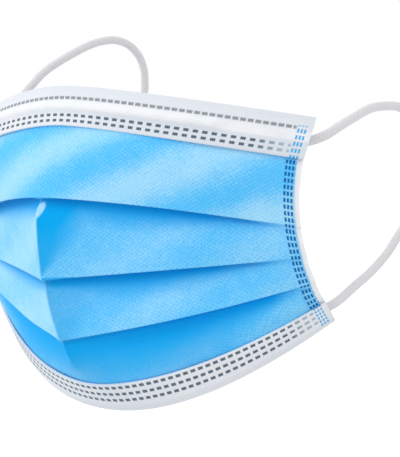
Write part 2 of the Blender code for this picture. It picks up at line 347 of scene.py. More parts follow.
# Faces of a grid of points, rows by columns, and of the rim that joins two such grids.
def gridFaces(rows, columns, flip=False):
    index = np.arange(rows * columns).reshape(rows, columns)
    quads = np.stack([index[:-1, :-1], index[1:, :-1], index[1:, 1:], index[:-1, 1:]], axis=-1)
    quads = quads.reshape(-1, 4)
    return quads[:, ::-1] if flip else quads


def rimFaces(rows, columns):
    index = np.arange(rows * columns).reshape(rows, columns)
    rim = np.concatenate([index[0], index[1:, -1], index[-1, -2::-1], index[-2:0:-1, 0]])
    after = np.roll(rim, -1)
    back = rows * columns
    return np.stack([rim, after, after + back, rim + back], axis=-1)


# Faces of a tube: each row of points is a closed ring round it.
def tubeFaces(rings, around):
    index = np.arange(rings * around).reshape(rings, around)
    after = np.roll(index, -1, axis=1)
    return np.stack([index[:-1], after[:-1], after[1:], index[1:]], axis=-1).reshape(-1, 4)


# Length along a curve from its first point to each.
def lengthAlong(curve):
    return np.concatenate([[0], np.cumsum(np.linalg.norm(np.diff(curve, axis=0), axis=1))])


# Puts points and faces into a smooth mesh whose faces point outwards, with its UV maps.
def addPiece(name, points, faces, uvs, material, smoothAngle=None):
    mesh = bpy.data.meshes.new(name)
    mesh.from_pydata((points - noseBridge).tolist(), [], [list(map(int, face)) for face in faces])
    for uvName, uv in uvs.items():
        layer = mesh.uv_layers.new(name=uvName)
        corners = np.empty(len(mesh.loops), dtype=np.int32)
        mesh.loops.foreach_get("vertex_index", corners)
        layer.data.foreach_set("uv", uv[corners].astype(np.float32).ravel())
    work = bmesh.new()
    work.from_mesh(mesh)
    bmesh.ops.recalc_face_normals(work, faces=work.faces)
    caps = [face for face in work.faces if len(face.verts) > 4]
    bmesh.ops.triangulate(work, faces=caps, ngon_method="EAR_CLIP")
    work.to_mesh(mesh)
    work.free()
    mesh.shade_smooth()
    if smoothAngle is not None:
        mesh.set_sharp_from_angle(angle=np.radians(smoothAngle))
    mesh.materials.append(material)
    made = bpy.data.objects.new(name, mesh)
    bpy.context.collection.objects.link(made)
    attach(made, "root")
    return made


# Ear loops. Each route starts inside the upper corner and ends inside the lower one.
earLoop = {
    "diameter": 0.003,
    "rings": 260,
    "around": 20,
    "leftLength": 0.192,
    "rightLength": 0.212,
    "knit": (19.0, 7000.0),  # its waves, in radians half way round and for each metre
    "fuzz": 2200.0,
    "colour": (0.76, 0.75, 0.77),
    "shade": (0.60, 0.59, 0.62),
    "relief": 0.00006,
}
leftRoute = (
    (0.0634, -0.0051, -0.0194),
    (0.0682, -0.0007, -0.0190),
    (0.0717, 0.0021, -0.0180),
    (0.0739, 0.0050, -0.0168),
    (0.0750, 0.0080, -0.0154),
    (0.0750, 0.0122, -0.0137),
    (0.0739, 0.0234, -0.0101),
    (0.0725, 0.0356, -0.0067),
    (0.0714, 0.0475, -0.0054),
    (0.0705, 0.0573, -0.0055),
    (0.0697, 0.0666, -0.0084),
    (0.0692, 0.0736, -0.0144),
    (0.0691, 0.0773, -0.0224),
    (0.0694, 0.0766, -0.0312),
    (0.0697, 0.0706, -0.0400),
    (0.0703, 0.0581, -0.0482),
    (0.0706, 0.0494, -0.0547),
    (0.0712, 0.0382, -0.0604),
    (0.0717, 0.0273, -0.0646),
    (0.0718, 0.0199, -0.0678),
    (0.0714, 0.0148, -0.0697),
    (0.0690, 0.0120, -0.0716),
    (0.0640, 0.0103, -0.0748),
)
rightRoute = (
    (-0.0634, -0.0051, -0.0194),
    (-0.0685, -0.0003, -0.0192),
    (-0.0713, 0.0026, -0.0170),
    (-0.0710, 0.0047, -0.0098),
    (-0.0670, 0.0080, -0.0030),
    (-0.0620, 0.0118, 0.0045),
    (-0.0580, 0.0149, 0.0099),
    (-0.0545, 0.0190, 0.0139),
    (-0.0510, 0.0257, 0.0183),
    (-0.0488, 0.0312, 0.0212),
    (-0.0470, 0.0372, 0.0230),
    (-0.0460, 0.0427, 0.0234),
    (-0.0450, 0.0487, 0.0218),
    (-0.0445, 0.0537, 0.0179),
    (-0.0445, 0.0565, 0.0128),
    (-0.0452, 0.0578, 0.0077),
    (-0.0460, 0.0584, 0.0044),
    (-0.0495, 0.0586, -0.0060),
    (-0.0550, 0.0550, -0.0205),
    (-0.0604, 0.0479, -0.0346),
    (-0.0657, 0.0381, -0.0478),
    (-0.0696, 0.0287, -0.0583),
    (-0.0714, 0.0209, -0.0655),
    (-0.0717, 0.0152, -0.0695),
    (-0.0690, 0.0120, -0.0716),
    (-0.0640, 0.0103, -0.0748),
)


# Points evenly spaced along the smooth cubic curve through a route's points.
def smoothRoute(route, count):
    route = np.array(route)
    ends = np.concatenate([2 * route[:1] - route[1:2], route, 2 * route[-1:] - route[-2:-1]])
    a, b, c, d = (ends[i : len(ends) - 3 + i, None] for i in range(4))
    t = np.linspace(0, 1, 12, endpoint=False)[None, :, None]  # 12 from point to point
    dense = (
        b
        + t * (c - a) / 2
        + t**2 * (2 * a - 5 * b + 4 * c - d) / 2
        + t**3 * (3 * b - a - 3 * c + d) / 2
    ).reshape(-1, 3)
    dense = np.concatenate([dense, route[-1:]])
    length = lengthAlong(dense)
    even = np.linspace(0, length[-1], count)
    return np.stack([np.interp(even, length, dense[:, axis]) for axis in range(3)], axis=-1)


# A round cord: circles across the tangent, whose radius closes like a dome at both ends.
def addLoop(name, route, material):
    rings, around, radius = earLoop["rings"], earLoop["around"], earLoop["diameter"] / 2
    centre = smoothRoute(route, rings)
    tangent = np.gradient(centre, axis=0)
    tangent /= np.linalg.norm(tangent, axis=1, keepdims=True)
    sideways = np.array([[1.0, 0.0, 0.0]]) - tangent * tangent[:, :1]
    sideways /= np.linalg.norm(sideways, axis=1, keepdims=True)
    upwards = np.cross(tangent, sideways)
    along = lengthAlong(centre)
    toEnd = np.minimum(along, along[-1] - along) / radius
    swell = radius * np.sqrt(1 - (1 - np.clip(toEnd, 0.0, 1.0)) ** 2)
    turn = np.linspace(0, 2 * np.pi, around, endpoint=False)
    circle = sideways[:, None] * np.cos(turn)[:, None] + upwards[:, None] * np.sin(turn)[:, None]
    body = (centre[1:-1, None] + circle[1:-1] * swell[1:-1, None, None]).reshape(-1, 3)
    points = np.concatenate([body, centre[:1], centre[-1:]])
    quads = tubeFaces(rings - 2, around)
    first, last = len(body), len(body) + 1
    ring = np.arange(around)
    caps = [(first, b, a) for a, b in zip(ring, np.roll(ring, -1))]
    ring = ring + len(body) - around
    caps += [(last, a, b) for a, b in zip(ring, np.roll(ring, -1))]
    # on the second half of the way round the map runs back, so that the knit meets itself
    halfRound = np.abs(np.tile(np.linspace(-1, 1, around, endpoint=False), (rings - 2, 1)))
    uv = np.stack([halfRound, np.repeat(along[1:-1, None], around, axis=1)], axis=-1).reshape(-1, 2)
    uv = np.concatenate([uv, [[0.5, 0.0], [0.5, along[-1]]]])
    made = addPiece(name, points, list(quads) + caps, {"knit": uv}, material)
    tuple(centre[0] - noseBridge)
    (centre - noseBridge).tolist()
    return made


def elasticMaterial():
    shader = Shader("white_elastic", Roughness=0.85, **{"Sheen Weight": 0.25})
    turn, along = shader.uv("knit")
    wavesRound, wavesAlong = earLoop["knit"]
    lean = (turn * wavesRound + along * wavesAlong).wave()
    counterLean = (turn * wavesRound - along * wavesAlong).wave()
    knit = lean * counterLean
    fuzz = shader.noise(shader.place(), earLoop["fuzz"], 3.0)
    tone = knit * 0.4 + fuzz * 0.6
    colour = shader.mix(tone.step(0.1, 0.7), rgb(*earLoop["shade"]), rgb(*earLoop["colour"]))
    return shader.finish(colour, knit * 0.5 + fuzz * 0.5, earLoop["relief"])


whiteElastic = elasticMaterial()
leftLoop = addLoop("leftEarLoop", leftRoute, whiteElastic)
rightLoop = addLoop("rightEarLoop", rightRoute, whiteElastic)
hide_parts("ear_loop_left")
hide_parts("ear_loop_right")
print("ear loops made")


# The cloth. Places across it are shares of the half width, and where two numbers stand for
# a change, it starts at the first and takes as much as the second.
cloth = {
    "hold": (0.10, 0.34),  # rows that hold a fold, in the step behind it and in its panel
    "samples": 4,  # fine rows to each control row
    "waves": 0.00035,  # how uneven the cloth is
    "waveMargin": 0.12,  # and how near to the sides that fades out
    "sideMargin": 0.0190,  # how much narrower the blue ply is than the white one
    "flatRows": (0.82, 0.18),  # where the rows come to follow the curve of the side edge
    "flatMoves": (0.80, 0.15),  # where the layers come to lie flat on each other
    "evenRows": 2.5,  # and over how many rows they are evened out
    "sideSeam": 0.3,  # thickness left where the side edges are pressed
    "pressed": (0.94, 0.045),  # where it thins to that
    "crease": 0.0017,  # how far the crease down the middle stands out
    "creaseWide": 0.0055,
    "creaseStart": 1.2,  # rows over which it rises under the first fold
    "creaseEnd": (4.4, 1.6),  # rows above the bottom edge, where it fades out again
    "creaseDrift": 0.0047,  # how far it wanders to the left below the last fold
    "driftFrom": (5.4, 2.4),  # rows above the bottom edge
    "tip": 0.0012,  # how much more stands out in a small tip under the first fold
    "tipWide": 0.0022,
    "tipHigh": 0.0050,
}
# The waves: radians for each metre across and up, where they start, and their heights.
clothWaves = (
    (95, 70, 0, 1.0),
    (150, -120, 1.3, 0.8),
    (43, 210, 4, 0.6),
)
# The painted shade under each fold, a deeper blue: how far down it reaches, and the share of that
# at the middle.
foldShades = {"fold1": (0.0085, 1.0), "fold2": (0.0085, 0.30), "fold3": (0.0220, 1.0)}


# From 0 to 1, easing in and out as a cubic.
def smoothStep(value):
    value = np.clip(value, 0, 1)
    return value * value * (3 - 2 * value)


# 0 in the middle of the mask and 1 near its sides, for a change given as in cloth.
def towardsSide(q, change):
    start, wide = change
    return smoothStep((np.abs(q) - start) / wide)


# Control rows from top to bottom, how far each lies behind the visible face, and which rows
# are sharp folds. Between two lines they run straight, swollen by a sine.
def sheetRows(q):
    rows, covers, sharp = [], [], []

    def addRow(points, behind, fold=False):
        sharp.extend([len(rows)] if fold else [])
        rows.append(points)
        covers.append(behind)

    top, hem = lineAt("topEdge", q), lineAt("topHem", q)
    for share in np.linspace(topBand["pliesEnd"] / topBand["band"], 1, 4):
        addRow(top + (hem - top) * share, cover)
    atSide = towardsSide(q, cloth["flatRows"])[:, None]
    for upper, lower, count, swell in panels:
        start, end = panelStart(upper, q), lineAt(lower, q)
        high, low = lines[upper][2], lines[lower][2]
        for row in range(0 if upper in steps else 1, count + 1):
            share = row / count
            swollen = np.array([0.0, -swell * np.sin(np.pi * share), 0.0])
            # at the sides the cloth lies flat and follows the curve of the side edge
            bow = sideEdge(high + (low - high) * share)
            bow -= sideEdge(high) + (sideEdge(low) - sideEdge(high)) * share
            flat = np.repeat(bow[None], len(q), axis=0)
            flat[:, 0] *= np.sign(q)
            out = swollen * (1 - atSide) + flat * atSide
            folded = (row == 0 and upper in steps) or (row == count and lower in steps)
            addRow(start + (end - start) * share + out, 0.0, folded)
    covers[-1] = cover
    top, hem = lineAt("bottomHem", q), lineAt("bottomEdge", q)
    reach = 1 - bottomBand["pliesEnd"] / bottomBand["band"]
    for share in (reach / 2, reach):
        addRow(top + (hem - top) * share, cover)
    return np.array(rows), np.array(covers), sharp


# The move that takes each grid point one metre behind every face around it, by least squares.
def inwardMoves(points):
    normals = np.cross(points[1:, 1:] - points[:-1, :-1], points[1:, :-1] - points[:-1, 1:])
    normals /= np.linalg.norm(normals, axis=-1, keepdims=True)
    rows, columns = points.shape[:2]
    total = np.zeros((rows, columns, 3))
    spread = np.zeros((rows, columns, 3, 3))
    products = normals[..., :, None] * normals[..., None, :]
    for row in (0, 1):
        for column in (0, 1):
            cell = (slice(row, row + rows - 1), slice(column, column + columns - 1))
            total[cell] += normals
            spread[cell] += products
    spread += 0.02 * np.eye(3)  # a little, to keep it steady where the faces are level
    return np.linalg.solve(spread, total[..., None])[..., 0]


# Rows of a quadratic B-spline over the control rows, as weights. Each sharp row gets two
# more close to it, which hold the curve near the fold.
def splineRows(count, sharp):
    inStep, inPanel = cloth["hold"]
    controls = []
    for row in range(count):
        if row in sharp:
            before, after = (inPanel, inStep) if row - 1 in sharp else (inStep, inPanel)
            controls += [row - before, row, row + after]
        else:
            controls.append(row)
    controls = np.array(controls, dtype=float)
    linear = np.maximum(0, 1 - np.abs(controls[:, None] - np.arange(count)[None]))
    padded = np.concatenate([linear[:1], linear, linear[-1:]])
    t = np.linspace(0, 1, cloth["samples"], endpoint=False)[None, :, None]
    before, here, after = padded[:-2, None], padded[1:-1, None], padded[2:, None]
    curve = before * (1 - t) ** 2 / 2 + here * (0.5 + t * (1 - t)) + after * t**2 / 2
    return np.concatenate([linear[:1], curve.reshape(-1, count), linear[-1:]])


# Gentle unevenness of the cloth: three long waves, fading out at the bands and the sides.
def unevenness(points, q):
    x, z = points[..., 0], points[..., 2]
    wave = sum(
        high * np.sin(x * turnsAcross + z * turnsDown + start)
        for turnsAcross, turnsDown, start, high in clothWaves
    )
    fade = np.clip((1 - np.abs(q)) / cloth["waveMargin"], 0, 1)[None]
    inside = np.sin(np.pi * np.linspace(0, 1, points.shape[0]))[:, None] ** 0.5
    return cloth["waves"] * wave * fade * inside


# How far the cloth stands out in the crease and its tip: an exponential on both sides of
# the crease's line, and a round bell under the first fold.
def creaseRelief(fine, rowOf, rowCount, tipRow, tipHeight):
    toEnd = rowOf[:, None] - rowCount
    (endFrom, endWide), (driftFrom, driftWide) = cloth["creaseEnd"], cloth["driftFrom"]
    underFirst = smoothStep((rowOf[:, None] - tipRow) / cloth["creaseStart"])
    aboveEnd = 1 - smoothStep((toEnd + endFrom) / endWide)
    drift = cloth["creaseDrift"] * smoothStep((toEnd + driftFrom) / driftWide)
    x, below = fine[..., 0], fine[..., 2] - tipHeight
    crease = np.exp(-np.abs(x + drift) / cloth["creaseWide"]) * aboveEnd
    tip = np.exp(-((x / cloth["tipWide"]) ** 2) - (below / cloth["tipHigh"]) ** 2)
    return (cloth["crease"] * crease + cloth["tip"] * tip) * underFirst


# The three maps of a ply. "cloth": distance from the middle, and the cloth's own length down
# the middle, with each fold straight across. "side": distance from the side edge, and the
# way down that edge. "fold": distance under the fold above, and how far its painted shade reaches.
def plyMaps(face, points, rowOf, sharp, q):
    rows, columns = face.shape[:2]
    half = columns // 2
    stepAcross = np.linalg.norm(np.diff(face, axis=1), axis=-1)
    across = np.concatenate([np.zeros((rows, 1)), np.cumsum(stepAcross, axis=1)], axis=1)
    stepDown = np.linalg.norm(np.diff(face, axis=0), axis=-1)
    down = np.concatenate([np.zeros((1, columns)), np.cumsum(stepDown, axis=0)])
    folds = [0] + [row for row in sharp if row - 1 not in sharp] + [len(points) - 1]
    nextFold = np.clip(np.searchsorted(folds, rowOf - 1e-6), 1, len(folds) - 1)
    foldRow = np.array([np.abs(rowOf - fold).argmin() for fold in folds])[nextFold]
    clothDown = down[foldRow][:, half, None] - (down[foldRow] - down)
    fromSide = np.minimum(across, across[:, -1:] - across)
    sideDown = np.repeat(down[:, -1:], columns, axis=1)
    underFold = np.full((rows, columns), 0.1)  # far from any fold
    foldDepth = np.zeros((rows, columns))
    for fold, row in zip(steps, [row for row in sharp if row - 1 in sharp]):
        start = np.abs(rowOf - row).argmin()
        under = rowOf >= rowOf[start] - 0.5
        underFold[under] = np.maximum(down[under] - down[start], 0.0)
        depth = points[row, :, 1] - points[row - 1, :, 1]
        share = depth / depth.max()
        farthest, atMiddle = foldShades[fold]
        inner = atMiddle + (1 - atMiddle) * (share - share[half]) / (1 - share[half])
        deepestAt = steps[fold][3]
        foldDepth[under] = farthest * np.where(np.abs(q) < deepestAt, inner, share**2)
    maps = {
        "cloth": (across - across[:, half, None], clothDown),
        "side": (fromSide, sideDown),
        "fold": (underFold, foldDepth),
    }
    print("cloth", rows, "rows by", columns, "long", round(down[-1, half], 4))
    # the same for both layers
    return {key: np.tile(np.stack(uv, axis=-1).reshape(-1, 2), (2, 1)) for key, uv in maps.items()}


# A ply: two layers of the sheet, one wall apart, joined round their rim.
def addPly(name, layer, reach, material):
    q = evenColumns * reach
    points, covers, sharp = sheetRows(q)
    moves = inwardMoves(points)
    # near the side edges, where all is pressed flat, the moves are evened out from row to row
    order = np.arange(len(points))
    even = np.exp(-(((order[:, None] - order) / cloth["evenRows"]) ** 2))
    flatMoves = np.tensordot(even, moves, axes=1)
    flatMoves /= np.linalg.norm(flatMoves, axis=-1, keepdims=True)
    atSide = towardsSide(q, cloth["flatMoves"])[:, None]
    moves = moves * (1 - atSide) + flatMoves * atSide
    weights = splineRows(len(points), sharp)
    fine = np.tensordot(weights, points, axes=1)
    rowOf = weights @ order
    tipRow = [row for row in sharp if row - 1 in sharp][0]
    tipHeight = points[tipRow, len(q) // 2, 2]
    relief = unevenness(fine, q) + creaseRelief(fine, rowOf, len(points), tipRow, tipHeight)
    out = np.array([0.0, -1.0, 0.0])
    thin = 1 - (1 - cloth["sideSeam"]) * towardsSide(q, cloth["pressed"])
    walls = []
    for depth in (0.0, mask["wall"]):
        behind = covers[:, None] + (layer * cover + depth) * thin
        wall = np.tensordot(weights, points + moves * behind[..., None], axes=1)
        walls.append(wall + relief[..., None] * out)
    rows, columns = relief.shape
    faces = np.concatenate([
        gridFaces(rows, columns),
        gridFaces(rows, columns, True) + rows * columns,
        rimFaces(rows, columns),
    ])
    everyPoint = np.concatenate([wall.reshape(-1, 3) for wall in walls])
    maps = plyMaps(walls[0], points, rowOf, sharp, q)
    return addPiece(name, everyPoint, faces, maps, material, 50)


# Welds: dashes in a row, each a rectangle with soft edges. All sizes are in metres.
def dashRow(along, across, row, pitch, dash, wide, soft=0.00012):
    place = (along / pitch).math("FRACT")
    halfDash, softDash = dash / pitch / 2, soft / pitch
    inDash = 1 - abs(place - 0.5).step(halfDash - softDash, halfDash + softDash)
    inRow = 1 - abs(across - row).step(wide / 2 - soft, wide / 2 + soft)
    return inDash * inRow


# Rows of welds down the sides of the blue ply: their distances from its side edge.
sideWelds = {
    "rows": (0.00070, 0.00176, 0.00282),
    "pitch": 0.0020,
    "dash": 0.00125,
    "wide": 0.00062,
    "fromEdge": mask["topHalfWidth"] * cloth["sideMargin"],  # from the white cloth's edge
}


def sideDashes(fromSide, sideDown):
    sizes = sideWelds["pitch"], sideWelds["dash"], sideWelds["wide"]
    return sum(dashRow(sideDown, fromSide, row, *sizes) for row in sideWelds["rows"])


# The blue cloth. Pairs of distances down the cloth say where a change starts and ends.
blueCloth = {
    "colour": (0.075, 0.52, 0.97),
    # the lit colour of painted highlights
    "light": (0.40, 0.745, 0.98),
    # painted shade: the deeper blue under the folds and right of the crease
    "deep": (0.0, 0.395, 0.88),
    "paintedGapShade": (0.0, 0.24, 0.62),  # painted shade, darker still, in the narrow gap right under a fold
    "weld": (0.0, 0.135, 0.45),
    "cell": (0.0019, 0.00125),  # width and height of an embossed diamond
    "fibre": 1500.0,  # fibres, clouds and patches are noises of this scale
    "cloud": 30.0,
    "patch": 160.0,
    "streak": 0.0228,  # from one painted highlight streak to the next
    "streakLean": (0.46, 0.89),  # the way across the streaks, as along and down
    "streakStart": 3.03,  # radians by which the first one lies off the middle
    "streakWander": 0.008,  # how far the clouds push them about
    "secondPanel": (0.033, 0.037),  # where the panel under the first fold starts
    "thirdPanel": (0.060, 0.064),
    "lastPanel": (0.083, 0.086),
    "lastCrease": (0.088, 0.101),  # where the crease wanders on it
    "creaseShade": (0.0340, 1.35),  # width of the painted shade right of it, and how fast it narrows
    "creaseHighlight": (0.0001, 0.0006),
    "softRight": (0.0065, 0.006),  # how gently left turns to right, and how much less below
    "reach": 0.0010,  # how much farther the painted shade of a fold reaches
    "shadeFrom": (0.0004, 0.0045),  # depths of a fold between which its painted shade grows
    "gapFrom": 0.0003,  # how far under a fold the painted gap shade starts to fade
    "gapDepth": (0.0002, 0.002),
    "tipFrom": 0.0036,  # the middle of the painted highlight on the tip under the first fold
    "tipSize": (0.0021, 0.0030),  # half its width and height
    "tipAbove": (0.045, 0.046),  # it lies above this far down the cloth
    "relief": 0.00012,
}


# Lines of the emboss: two sets of sines that cross in diamonds.
def diamondNet(along, down):
    cellWide, cellHigh = blueCloth["cell"]
    leftLines = abs(((along / cellWide + down / cellHigh) * np.pi).math("SINE"))
    rightLines = abs(((along / cellWide - down / cellHigh) * np.pi).math("SINE"))
    return 1 - (leftLines * rightLines).step(0.0, 0.7)


# The painted highlight on the tip: an ellipse that leans to the left on its way down.
def brightTip(along, down, underFold):
    tipWide, tipHigh = blueCloth["tipSize"]
    sideways = (along + (underFold - blueCloth["tipFrom"]) * 0.3) / tipWide
    upwards = (underFold - blueCloth["tipFrom"]) / tipHigh
    tip = 1 - (sideways * sideways + upwards * upwards).step(0.45, 1.25)
    return tip * (1 - down.step(*blueCloth["tipAbove"]))


def blueMaterial():
    constants = {"Roughness": 0.85, "Specular IOR Level": 0.08, "Sheen Weight": 0.03}
    shader = Shader("blue_cloth", **constants)
    vector = shader.mapVector("cloth")
    along, down = shader.uv("cloth")
    fromSide, sideDown = shader.uv("side")
    underFold, foldDepth = shader.uv("fold")
    net = diamondNet(along, down)
    leaning = shader.scaled(vector, (1.0, 0.6, 1.0), (0, 0, 0.5))
    fibres = shader.noise(leaning, blueCloth["fibre"], 4.0, 0.7)
    clouds = shader.noise(vector, blueCloth["cloud"])
    patches = shader.noise(vector, blueCloth["patch"], 3.0, 0.6)
    leanAlong, leanDown = blueCloth["streakLean"]
    across = along * leanAlong + down * leanDown + (clouds - 0.5) * blueCloth["streakWander"]
    turns = across * (2 * np.pi / blueCloth["streak"]) - blueCloth["streakStart"]
    highlightStreaks = turns.wave() * (0.55 + clouds * 0.7)
    # which panel, and which side of the crease
    lowerPanels = down.step(*blueCloth["secondPanel"])
    lastPanel = down.step(*blueCloth["lastPanel"])
    drifted = along + down.step(*blueCloth["lastCrease"]) * cloth["creaseDrift"]
    gently, lessGently = blueCloth["softRight"]
    onRight = (drifted / (gently - lowerPanels * lessGently)).step(-1.0, 1.0)
    # painted highlight streaks, over plain blue with random fibres, patches and the embossed net
    tone = highlightStreaks * (0.75 - lowerPanels * 0.45) + lowerPanels * 0.08 + patches * 0.25
    tone = tone + fibres * 1.2 + net * patches * 0.40 - 0.86
    # painted light: the left of the crease lighter than its right, as if lit from the left
    tone = tone + (1 - onRight) * (0.05 + lowerPanels * 0.30) * (1 - lastPanel)
    light = rgb(*blueCloth["light"])
    colour = shader.mix(tone.step(-0.25, 0.95), rgb(*blueCloth["colour"]), light)
    # painted shade, a deeper blue, just under a fold
    full = onRight.math("MAXIMUM", lastPanel)
    reach = foldDepth * (0.75 + full * 0.25) + blueCloth["reach"]
    shade = 1 - (underFold / reach).step(0.15, 1.15)
    shade = shade * foldDepth.step(*blueCloth["shadeFrom"])
    # and painted shade right of the crease as well
    creaseWidth, narrowing = blueCloth["creaseShade"]
    paintedCreaseShade = 1 - (drifted / (creaseWidth - underFold * narrowing)).step(0.25, 1.0)
    fainter = down.step(*blueCloth["thirdPanel"]) * 0.5 + lastPanel * 0.3
    paintedCreaseShade = paintedCreaseShade * onRight * lowerPanels * (1.15 - fainter - underFold * 14)
    shade = shade.math("MAXIMUM", paintedCreaseShade)
    colour = shader.mix(shade * (0.92 + fibres * 0.12), colour, rgb(*blueCloth["deep"]))
    # painted shade, darker still, in the narrow gap right under a fold
    gap = (foldDepth * 0.45 + blueCloth["reach"]) * (1 - lastPanel * 0.8)
    paintedGapShade = 1 - underFold.step(blueCloth["gapFrom"], gap)
    paintedGapShade = paintedGapShade * foldDepth.step(*blueCloth["gapDepth"]) * (0.6 - lastPanel * 0.25)
    colour = shader.mix(paintedGapShade, colour, rgb(*blueCloth["paintedGapShade"]))
    # painted highlights along the crease and on its tip
    creaseHighlight = 1 - abs(drifted).step(*blueCloth["creaseHighlight"])
    creaseHighlight = creaseHighlight * lowerPanels * (1 - lastPanel) * 0.4
    bright = brightTip(along, down, underFold).math("MAXIMUM", creaseHighlight)
    colour = shader.mix(bright, colour, light)
    welds = sideDashes(fromSide, sideDown)
    colour = shader.mix(welds, colour, rgb(*blueCloth["weld"]))
    height = net * 0.35 + fibres * 0.7 - welds * 1.5
    return shader.finish(colour, height, blueCloth["relief"])


whiteCloth = {
    "colour": (0.90, 0.92, 0.94),
    "shade": (0.80, 0.83, 0.87),
    "weld": (0.30, 0.50, 0.70),
    "fibre": 1800.0,
    "cloud": 90.0,
    "relief": 0.00012,
}


def innerMaterial():
    shader = Shader("white_cloth", Roughness=0.9, **{"Sheen Weight": 0.2})
    vector = shader.mapVector("cloth")
    fromSide, sideDown = shader.uv("side")
    fibres = shader.noise(vector, whiteCloth["fibre"], 4.0, 0.65)
    clouds = shader.noise(vector, whiteCloth["cloud"])
    welds = sideDashes(fromSide - sideWelds["fromEdge"], sideDown)
    tone = (fibres * 0.6 + clouds * 0.4).step(0.3, 0.75)
    colour = shader.mix(tone, rgb(*whiteCloth["shade"]), rgb(*whiteCloth["colour"]))
    colour = shader.mix(welds * 0.7, colour, rgb(*whiteCloth["weld"]))
    return shader.finish(colour, fibres - welds * 1.5, whiteCloth["relief"])


outerPly = addPly("outerPly", 0, 1 - cloth["sideMargin"], blueMaterial())
innerPly = addPly("innerPly", 1, 1.0, innerMaterial())
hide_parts("outer_ply")
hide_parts("inner_ply")
print("plies made")


# The pressed seam of a binding: how far behind the face it starts, and its thickness. Then
# how many points the hump over the wire has, and how far from its corners the strip rounds.
seam = {"behind": 0.0004, "thick": 0.002, "humpPoints": 11, "rounding": 0.0003}


# Section of a binding at each station: corners as (distance from its edge, depth behind
# its face). raised is 1 where the wire's channel stands out and None where there is none.
# The hump over the channel is a squared cosine.
def bindingCorners(binding, raised, stations):
    front = seam["behind"]
    back = front + seam["thick"]
    wall, gap = mask["wall"], mask["gap"]
    pocket = binding["pliesEnd"] - gap
    band, pressStart, pressEnd = binding["band"], binding["pressStart"], binding["pressEnd"]
    corners = [(band, wall), (band, 0.0)]
    if raised is not None:
        half = wire["wide"] / 2 + gap + wall / 2 + wire["slope"]
        up = raised * (wire["thick"] + gap)
        for t in np.linspace(1, -1, seam["humpPoints"]):
            corners.append((wire["down"] + half * t, -up * np.cos(np.pi * t / 2) ** 2))
    corners += [
        (pressStart, 0.0),
        (pressEnd, front),
        (0.0, front),
        (0.0, back),
        (pressEnd, back),
        (pressStart, bindingThick),
        (band, bindingThick),
        (band, bindingThick - wall),
        (pocket, bindingThick - wall),
        (pocket, wall),
    ]
    if raised is not None:
        half = wire["wide"] / 2 + gap
        high, low = wire["down"] - half, wire["down"] + half
        floor = wall - raised * (wire["thick"] + gap)
        corners += [(high - gap, wall), (high, floor), (low, floor), (low + gap, wall)]
    full = np.zeros((stations, len(corners), 2))
    for k, (down, depth) in enumerate(corners):
        full[:, k, 0] = down
        full[:, k, 1] = depth
    return full


# Rounds each corner of a closed section by a quadratic curve between points near it, no
# nearer to the next corner than .45 of the way.
def roundedSection(corners, reach, samples=4):
    def shorten(side):
        length = np.linalg.norm(side, axis=-1, keepdims=True)
        return side * np.minimum(reach / np.maximum(length, 1e-9), 0.45)

    start = corners + shorten(np.roll(corners, 1, axis=1) - corners)
    end = corners + shorten(np.roll(corners, -1, axis=1) - corners)
    t = np.linspace(0, 1, samples)[None, None, :, None]
    curve = (
        start[:, :, None] * (1 - t) ** 2
        + corners[:, :, None] * 2 * t * (1 - t)
        + end[:, :, None] * t**2
    )
    return curve.reshape(len(corners), -1, 2)


# A strip folded round an edge of the plies. Both its maps run down from its edge: "band"
# has the distance from the middle, and "side" that from the nearer end.
def addBinding(name, binding, upper, lower, channel, material):
    q = evenColumns
    edge, across, inward = bandFrames(upper, lower, q)
    raised = 1 - towardsSide(q, (wire["end"], wire["fade"])) if channel else None
    section = roundedSection(bindingCorners(binding, raised, len(q)), seam["rounding"])
    down, depth = section[..., 0:1], section[..., 1:2]
    points = edge[:, None] + across[:, None] * down / binding["band"] + inward[:, None] * depth
    stations, around = points.shape[:2]
    firstEnd = np.arange(around)
    lastEnd = firstEnd + (stations - 1) * around
    faces = list(tubeFaces(stations, around)) + [list(firstEnd[::-1]), list(lastEnd)]
    along = lengthAlong(edge + across / 2)
    fromMiddle = np.repeat((along - along[-1] / 2)[:, None], around, axis=1)
    fromSide = along[-1] / 2 - np.abs(fromMiddle)
    maps = {
        "band": np.stack([fromMiddle, section[..., 0]], axis=-1).reshape(-1, 2),
        "side": np.stack([fromSide, section[..., 0]], axis=-1).reshape(-1, 2),
    }
    return addPiece(name, points.reshape(-1, 3), faces, maps, material, 60)


# The bindings' looks. Pairs of distances say where a change starts and ends.
whiteBand = {
    "colour": (0.87, 0.885, 0.91),
    "shade": (0.765, 0.79, 0.835),
    # the pressed edge: greyer from its pressing, and painted shade where it curves back
    "hem": (0.74, 0.77, 0.81),
    "low": (0.65, 0.70, 0.77),  # painted shade, where little light falls
    "weld": (0.030, 0.080, 0.13),
    "paleWeld": (0.13, 0.15, 0.18),
    "sideWeld": (0.045, 0.42, 0.85),
    "endWeld": (0.34, 0.47, 0.60),
    "fibre": 2400.0,
    "cloud": 150.0,
    "weldsFrom": (0.0046, 0.0056),  # from the side edge
    "endFade": (0.007, 0.017),
    "square": 0.00056,  # each dash is a few pressed squares
    "hemFade": 0.0008,  # over how much the pressed edge fades
    "intoHem": 0.0006,  # how far the side welds reach into the pressed edge
    "paleSoft": 0.0002,  # how soft the edges of pale dashes are
    "relief": 0.00012,
}
# Rows of welds: distance from the edge, pitch, dash, width and how pale they are.
topWelds = (
    (0.00405, 0.00235, 0.0018, 0.00100, 1.0),
    (0.00965, 0.00295, 0.00165, 0.00085, 0.0),
    (0.01140, 0.00295, 0.00165, 0.00085, 0.0),
)
bottomWelds = (
    (0.0055, 0.0027, 0.0017, 0.0012, 0.0),
    (0.0083, 0.0027, 0.0017, 0.0012, 0.0),
    (0.0112, 0.0027, 0.0017, 0.0012, 0.0),
)


